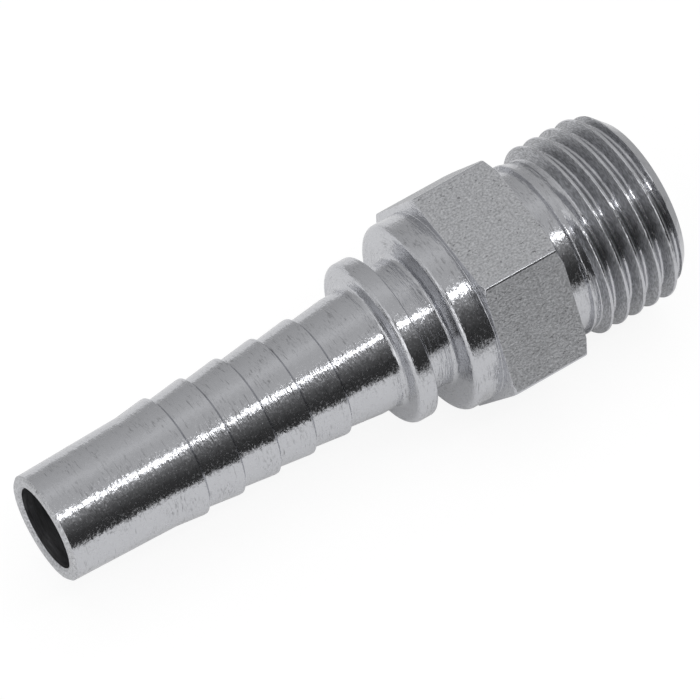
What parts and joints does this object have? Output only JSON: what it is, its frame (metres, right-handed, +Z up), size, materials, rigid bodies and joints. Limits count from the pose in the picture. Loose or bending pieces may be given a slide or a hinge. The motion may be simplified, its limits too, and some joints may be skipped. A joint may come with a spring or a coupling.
{
  "type": "straight male hose fitting",
  "caption": "One-piece straight hose fitting with a barbed crimp tail, locking collar, hexagon and male metric threaded stub.",
  "frame": {"origin": "on the axis, in the hexagon's face on the thread side, where the fitting stops when screwed home", "axes": "+X along the axis towards the threaded stub, +Z up across the hexagon's flats"},
  "size_m": [0.0545, 0.0196, 0.017],
  "materials": {
    "plated_steel": "turned free-cutting steel with a clear zinc plating, bright on the turned surfaces and satin on the hexagon flats"
  },
  "bodies": {
    "root": {"fitting_body": "plated_steel"}
  },
  "joints": []
}
